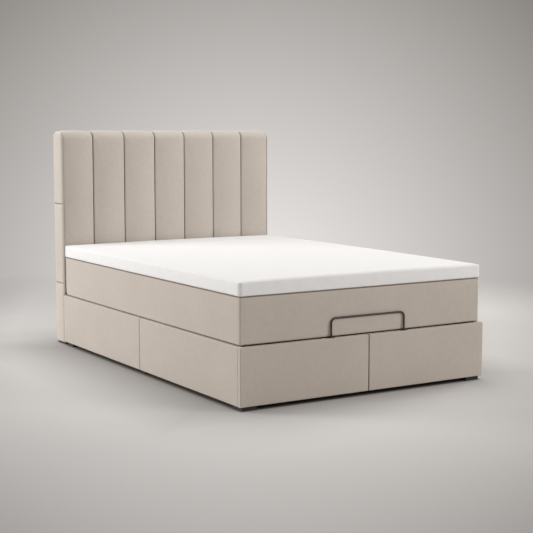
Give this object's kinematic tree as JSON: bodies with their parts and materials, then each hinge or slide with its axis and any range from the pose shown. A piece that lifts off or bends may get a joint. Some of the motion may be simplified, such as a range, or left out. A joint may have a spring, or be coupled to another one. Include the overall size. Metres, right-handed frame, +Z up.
{
  "type": "upholstered storage bed",
  "caption": "Padded box bed with a channel-tufted headboard, mattress and topper; the lid frame lifts at the foot on gas struts and opens a storage space.",
  "frame": {"origin": "centre of the bed's footprint, on the floor", "axes": "+X across the bed, +Y from the foot end to the headboard, +Z up"},
  "size_m": [1.4, 2.156, 1.2349],
  "materials": {
    "base_fabric": "fine matte weave, greige",
    "headboard_fabric": "fine matte weave, greige",
    "headboard_back": "plain lining stretched over a thin board",
    "mattress_fabric": "fine matte weave, greige",
    "topper_knit": "white stretch knit",
    "foam": "open foam",
    "spring_core": "pocket springs in fleece",
    "panel_board": "raw chipboard",
    "timber": "planed softwood",
    "floor_panel": "coated thin board",
    "slat_wood": "lacquered birch ply",
    "foot_plastic": "dark brown, fine grain",
    "spacer_plastic": "black",
    "pad_rubber": "black",
    "frame_steel": "dark powder coat",
    "bar_steel": "dark brown powder coat",
    "mechanism_steel": "grey powder coat",
    "cylinder_steel": "black enamel",
    "rod_steel": "polished rod",
    "fastener_steel": "zinc plated"
  },
  "bodies": {
    "base": {"base_bolts": "fastener_steel", "base_pivot_pins": "fastener_steel", "corner_feet": "foot_plastic", "corner_posts": "timber", "floor_beam": "timber", "floor_ledgers": "timber", "foot_boards": "panel_board", "foot_cover_left": "base_fabric", "foot_cover_right": "base_fabric", "head_board": "panel_board", "headboard_back_panel": "headboard_back", "headboard_border_left": "headboard_fabric", "headboard_border_right": "headboard_fabric", "headboard_channel_1": "headboard_fabric", "headboard_channel_2": "headboard_fabric", "headboard_channel_3": "headboard_fabric", "headboard_channel_4": "headboard_fabric", "headboard_channel_5": "headboard_fabric", "headboard_channel_6": "headboard_fabric", "headboard_channel_7": "headboard_fabric", "headboard_core": "panel_board", "headboard_glides": "foot_plastic", "headboard_lower_front": "headboard_fabric", "headboard_posts": "timber", "headboard_rails": "timber", "headboard_spacers": "spacer_plastic", "lid_rest_pads": "pad_rubber", "lift_plates": "mechanism_steel", "middle_feet": "foot_plastic", "plate_spacers": "fastener_steel", "seam_battens": "timber", "side_boards_left": "panel_board", "side_boards_right": "panel_board", "side_cover_left_foot": "base_fabric", "side_cover_left_head": "base_fabric", "side_cover_right_foot": "base_fabric", "side_cover_right_head": "base_fabric", "storage_floor": "floor_panel"},
    "front_arms": {"front_arms": "mechanism_steel"},
    "rear_arms": {"rear_arms": "mechanism_steel"},
    "gas_cylinders": {"gas_cylinders": "cylinder_steel"},
    "gas_rods": {"gas_rods": "rod_steel", "rod_studs": "fastener_steel"},
    "lid": {"frame_tube_left": "frame_steel", "frame_tube_right": "frame_steel", "frame_tube_foot": "frame_steel", "frame_tube_head": "frame_steel", "frame_tube_middle": "frame_steel", "slats": "slat_wood", "slat_holders": "spacer_plastic", "retainer_bar": "bar_steel", "platform_brackets": "mechanism_steel", "lid_bolts": "fastener_steel", "platform_pivot_pins": "fastener_steel"},
    "mattress": {"mattress_cover": "mattress_fabric", "mattress_spring_core": "spring_core", "mattress_foam": "foam"},
    "topper": {"topper_cover": "topper_knit", "topper_core": "foam"}
  },
  "joints": [
    {"name": "lift", "type": "hinge", "parent": "base", "child": "front_arms", "pos_m": [0, 0.1075, 0.058], "axis": [1, 0, 0], "range_deg": [0, 55]},
    {"name": "lid_tilt", "type": "hinge", "parent": "front_arms", "child": "lid", "pos_m": [0, 0.5515, 0.224], "axis": [1, 0, 0], "range_deg": [-87, 0]},
    {"name": "rear_arm_swing", "type": "hinge", "parent": "base", "child": "rear_arms", "pos_m": [0, 0.2055, 0.131], "axis": [1, 0, 0], "range_deg": [0, 61]},
    {"name": "strut_swing", "type": "hinge", "parent": "base", "child": "gas_cylinders", "pos_m": [0, 0.482, 0.09], "axis": [1, 0, 0], "range_deg": [0, 7.5]},
    {"name": "rod_slide", "type": "slide", "parent": "gas_cylinders", "child": "gas_rods", "axis": [0, -0.9839, 0.1787], "range_m": [0, 0.078]},
    {"name": "mattress_lift", "type": "slide", "parent": "lid", "child": "mattress", "axis": [0, 0, 1], "range_m": [0, 0.15]},
    {"name": "topper_lift", "type": "slide", "parent": "mattress", "child": "topper", "axis": [0, 0, 1], "range_m": [0, 0.12]}
  ],
  "couplings": [
    {"joint": "lid_tilt", "follows": "lift", "ratio": -1.573},
    {"joint": "rear_arm_swing", "follows": "lift", "ratio": 1.104},
    {"joint": "strut_swing", "follows": "lift", "ratio": 0.1293},
    {"joint": "rod_slide", "follows": "lift", "m_per_rad": 0.07969}
  ]
}
